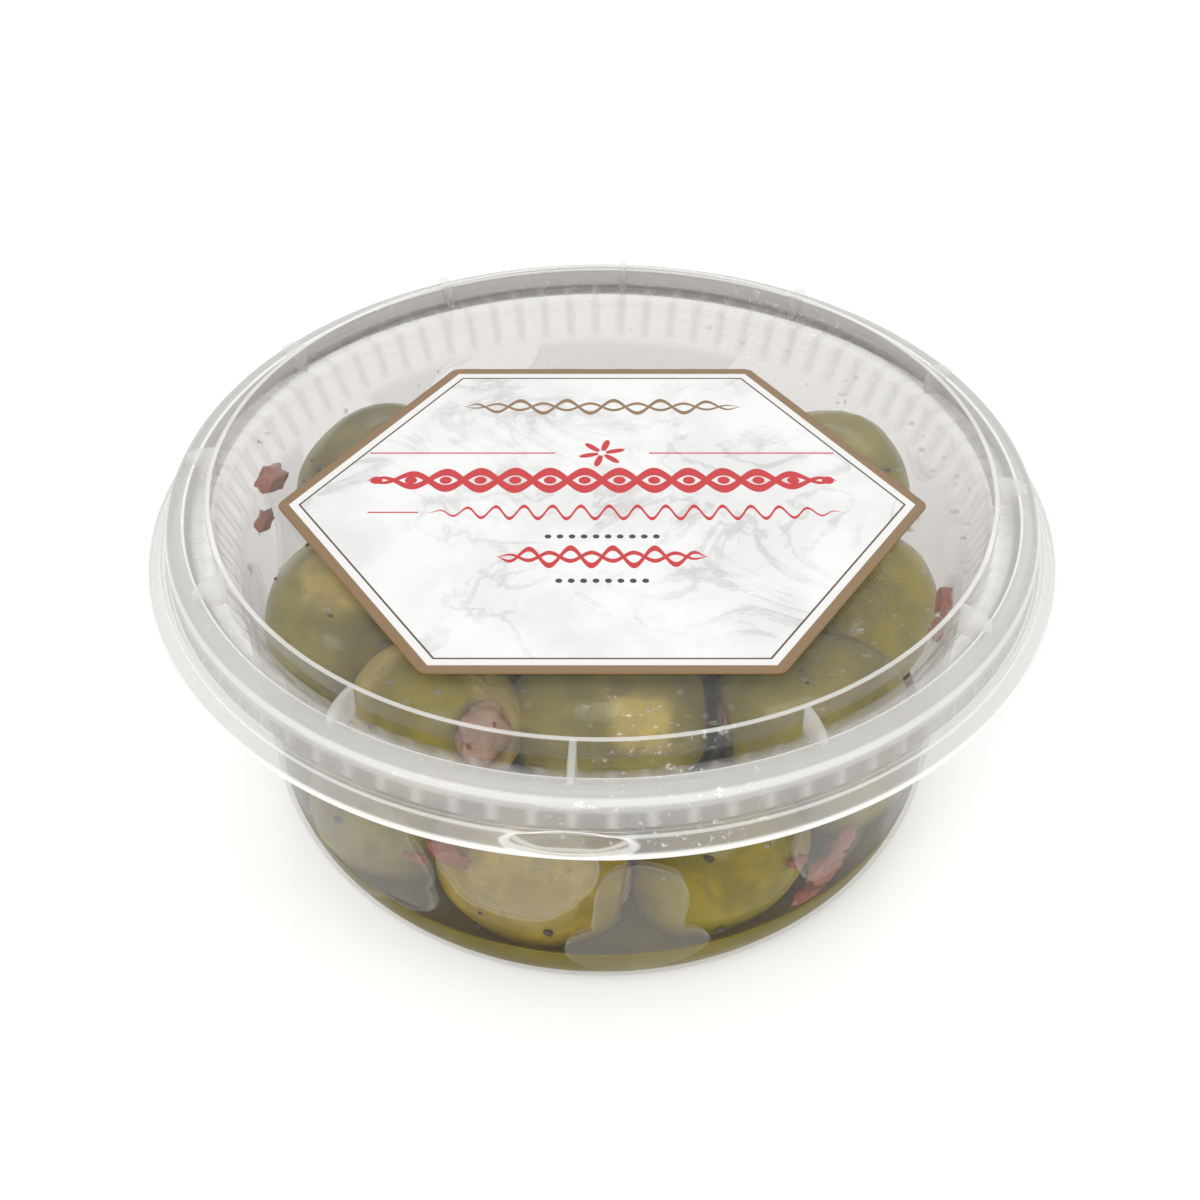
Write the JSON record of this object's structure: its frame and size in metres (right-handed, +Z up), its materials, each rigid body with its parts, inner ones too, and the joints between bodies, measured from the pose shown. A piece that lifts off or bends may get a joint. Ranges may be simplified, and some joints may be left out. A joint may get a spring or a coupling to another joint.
{
  "type": "tub of stuffed olives",
  "caption": "Round clear plastic deli tub with a push-fit lid and a hexagonal paper label, part filled with large stuffed green olives over a little oily brine.",
  "frame": {"origin": "centre of the base, on the plane the tub stands on", "axes": "+Z up along the tub's axis; -Y is the front, the side of the thumb tab, with the label read from there; +X to the right"},
  "size_m": [0.1168, 0.1168, 0.0532],
  "materials": {
    "clear_plastic": "clear polypropylene, slightly milky",
    "lid_plastic": "clear polypropylene, slightly milky",
    "label_paper": "smooth printed paper",
    "brine": "oily brine",
    "olive": "wet olive skin"
  },
  "bodies": {
    "root": {"tub": "clear_plastic", "lid": "lid_plastic", "label": "label_paper", "brine": "brine", "olives": "olive"}
  },
  "joints": []
}
